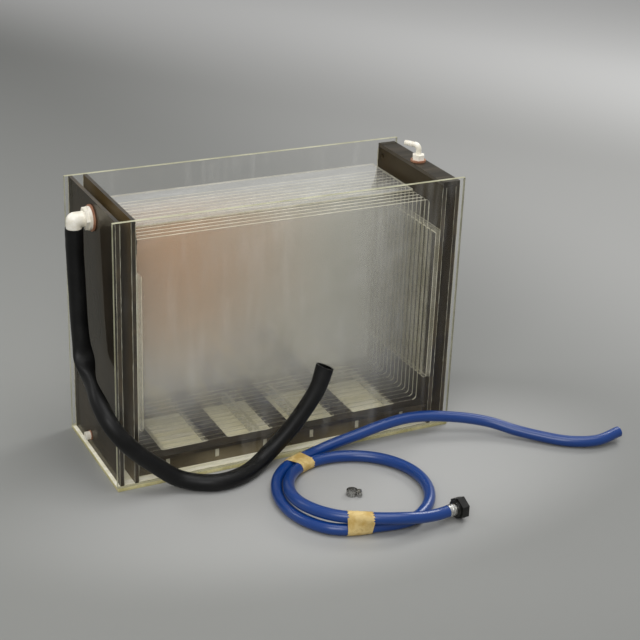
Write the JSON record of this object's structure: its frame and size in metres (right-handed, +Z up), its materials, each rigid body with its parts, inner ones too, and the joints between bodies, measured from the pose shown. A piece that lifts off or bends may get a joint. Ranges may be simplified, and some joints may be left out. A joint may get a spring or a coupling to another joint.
{
  "type": "archival print washer",
  "caption": "Tall clear tank that washes large photographic prints upright between lift-out sheets, with smoked end chambers, elbows, a drain plug and hoses.",
  "frame": {"origin": "middle of the tank's underside, on the surface it stands on", "axes": "+X from the outlet end to the inlet end, +Y from front to back, +Z up"},
  "size_m": [0.8963, 0.5361, 0.4848],
  "materials": {
    "clear_acrylic": "clear cast sheet, polished faces and sawn edges",
    "smoked_acrylic": "dark smoked sheet, polished",
    "frosted_acrylic": "clear strip with sawn faces",
    "white_nylon": "moulded, slightly yellowed",
    "brown_rubber": "smooth rubber",
    "black_rubber": "smooth black hose",
    "blue_hose": "glossy flexible hose",
    "paper_tape": "creped paper tape",
    "plated_metal": "worn plating",
    "black_plastic": "moulded",
    "clamp_steel": "rolled strip"
  },
  "bodies": {
    "tank": {"base_plate": "clear_acrylic", "front_panel": "clear_acrylic", "back_panel": "clear_acrylic", "outlet_end_panel": "smoked_acrylic", "inlet_end_panel": "smoked_acrylic", "overflow_partition": "smoked_acrylic", "inlet_partition": "smoked_acrylic", "inlet_chamber_cover": "smoked_acrylic", "false_floor": "smoked_acrylic", "front_riser": "smoked_acrylic", "back_riser": "smoked_acrylic", "floor_joists": "frosted_acrylic", "outlet_side_rail": "clear_acrylic", "inlet_side_rail": "clear_acrylic", "inlet_elbow": "white_nylon", "inlet_washer": "brown_rubber", "inlet_lock_nut": "white_nylon", "outlet_elbow": "white_nylon", "outlet_washer": "brown_rubber", "outlet_lock_nut": "white_nylon", "drain_hose": "black_rubber", "supply_hose_lead": "blue_hose", "supply_hose_coil": "blue_hose", "supply_hose_tail": "blue_hose", "front_tape_band": "paper_tape", "rear_tape_band": "paper_tape", "hose_tailpiece": "plated_metal", "nut_seal": "brown_rubber", "clamp_band": "clamp_steel", "clamp_housing": "clamp_steel"},
    "divider_01": {"divider_01": "clear_acrylic"},
    "divider_02": {"divider_02": "clear_acrylic"},
    "divider_03": {"divider_03": "clear_acrylic"},
    "divider_04": {"divider_04": "clear_acrylic"},
    "hold_down_plate": {"hold_down_plate": "clear_acrylic"},
    "divider_05": {"divider_05": "clear_acrylic"},
    "divider_06": {"divider_06": "clear_acrylic"},
    "divider_07": {"divider_07": "clear_acrylic"},
    "divider_08": {"divider_08": "clear_acrylic"},
    "divider_09": {"divider_09": "clear_acrylic"},
    "divider_10": {"divider_10": "clear_acrylic"},
    "divider_11": {"divider_11": "clear_acrylic"},
    "divider_12": {"divider_12": "clear_acrylic"},
    "divider_13": {"divider_13": "clear_acrylic"},
    "drain_plug": {"drain_plug": "white_nylon", "drain_washer": "brown_rubber"},
    "swivel_nut": {"swivel_nut": "black_plastic"},
    "clamp_screw": {"clamp_screw": "clamp_steel"}
  },
  "joints": [
    {"name": "divider_01_lift", "type": "slide", "parent": "tank", "child": "divider_01", "axis": [0, 0, 1], "range_m": [0, 0.425]},
    {"name": "divider_02_lift", "type": "slide", "parent": "tank", "child": "divider_02", "axis": [0, 0, 1], "range_m": [0, 0.425]},
    {"name": "divider_03_lift", "type": "slide", "parent": "tank", "child": "divider_03", "axis": [0, 0, 1], "range_m": [0, 0.425]},
    {"name": "divider_04_lift", "type": "slide", "parent": "tank", "child": "divider_04", "axis": [0, 0, 1], "range_m": [0, 0.425]},
    {"name": "hold_down_plate_lift", "type": "slide", "parent": "tank", "child": "hold_down_plate", "axis": [0, 0, 1], "range_m": [0, 0.455]},
    {"name": "divider_05_lift", "type": "slide", "parent": "tank", "child": "divider_05", "axis": [0, 0, 1], "range_m": [0, 0.425]},
    {"name": "divider_06_lift", "type": "slide", "parent": "tank", "child": "divider_06", "axis": [0, 0, 1], "range_m": [0, 0.425]},
    {"name": "divider_07_lift", "type": "slide", "parent": "tank", "child": "divider_07", "axis": [0, 0, 1], "range_m": [0, 0.425]},
    {"name": "divider_08_lift", "type": "slide", "parent": "tank", "child": "divider_08", "axis": [0, 0, 1], "range_m": [0, 0.425]},
    {"name": "divider_09_lift", "type": "slide", "parent": "tank", "child": "divider_09", "axis": [0, 0, 1], "range_m": [0, 0.425]},
    {"name": "divider_10_lift", "type": "slide", "parent": "tank", "child": "divider_10", "axis": [0, 0, 1], "range_m": [0, 0.425]},
    {"name": "divider_11_lift", "type": "slide", "parent": "tank", "child": "divider_11", "axis": [0, 0, 1], "range_m": [0, 0.425]},
    {"name": "divider_12_lift", "type": "slide", "parent": "tank", "child": "divider_12", "axis": [0, 0, 1], "range_m": [0, 0.425]},
    {"name": "divider_13_lift", "type": "slide", "parent": "tank", "child": "divider_13", "axis": [0, 0, 1], "range_m": [0, 0.425]},
    {"name": "drain_plug_pull", "type": "slide", "parent": "tank", "child": "drain_plug", "axis": [-1, 0, 0], "range_m": [0, 0.02]},
    {"name": "swivel_nut_turn", "type": "hinge", "parent": "tank", "child": "swivel_nut", "pos_m": [0.15789, -0.40091, 0.01897], "axis": [0.9945, 0.1045, 0], "continuous": true},
    {"name": "clamp_screw_turn", "type": "hinge", "parent": "tank", "child": "clamp_screw", "pos_m": [0.0496, -0.27641, 0.0045], "axis": [-0.4226, -0.9063, 0], "continuous": true}
  ],
  "couplings": [
    {"joint": "divider_05_lift", "follows": "hold_down_plate_lift", "ratio": 0.93},
    {"joint": "divider_06_lift", "follows": "hold_down_plate_lift", "ratio": 0.93},
    {"joint": "divider_07_lift", "follows": "hold_down_plate_lift", "ratio": 0.93},
    {"joint": "divider_08_lift", "follows": "hold_down_plate_lift", "ratio": 0.93},
    {"joint": "divider_09_lift", "follows": "hold_down_plate_lift", "ratio": 0.93},
    {"joint": "divider_10_lift", "follows": "hold_down_plate_lift", "ratio": 0.93},
    {"joint": "divider_11_lift", "follows": "hold_down_plate_lift", "ratio": 0.93},
    {"joint": "divider_12_lift", "follows": "hold_down_plate_lift", "ratio": 0.93},
    {"joint": "divider_13_lift", "follows": "hold_down_plate_lift", "ratio": 0.93}
  ]
}
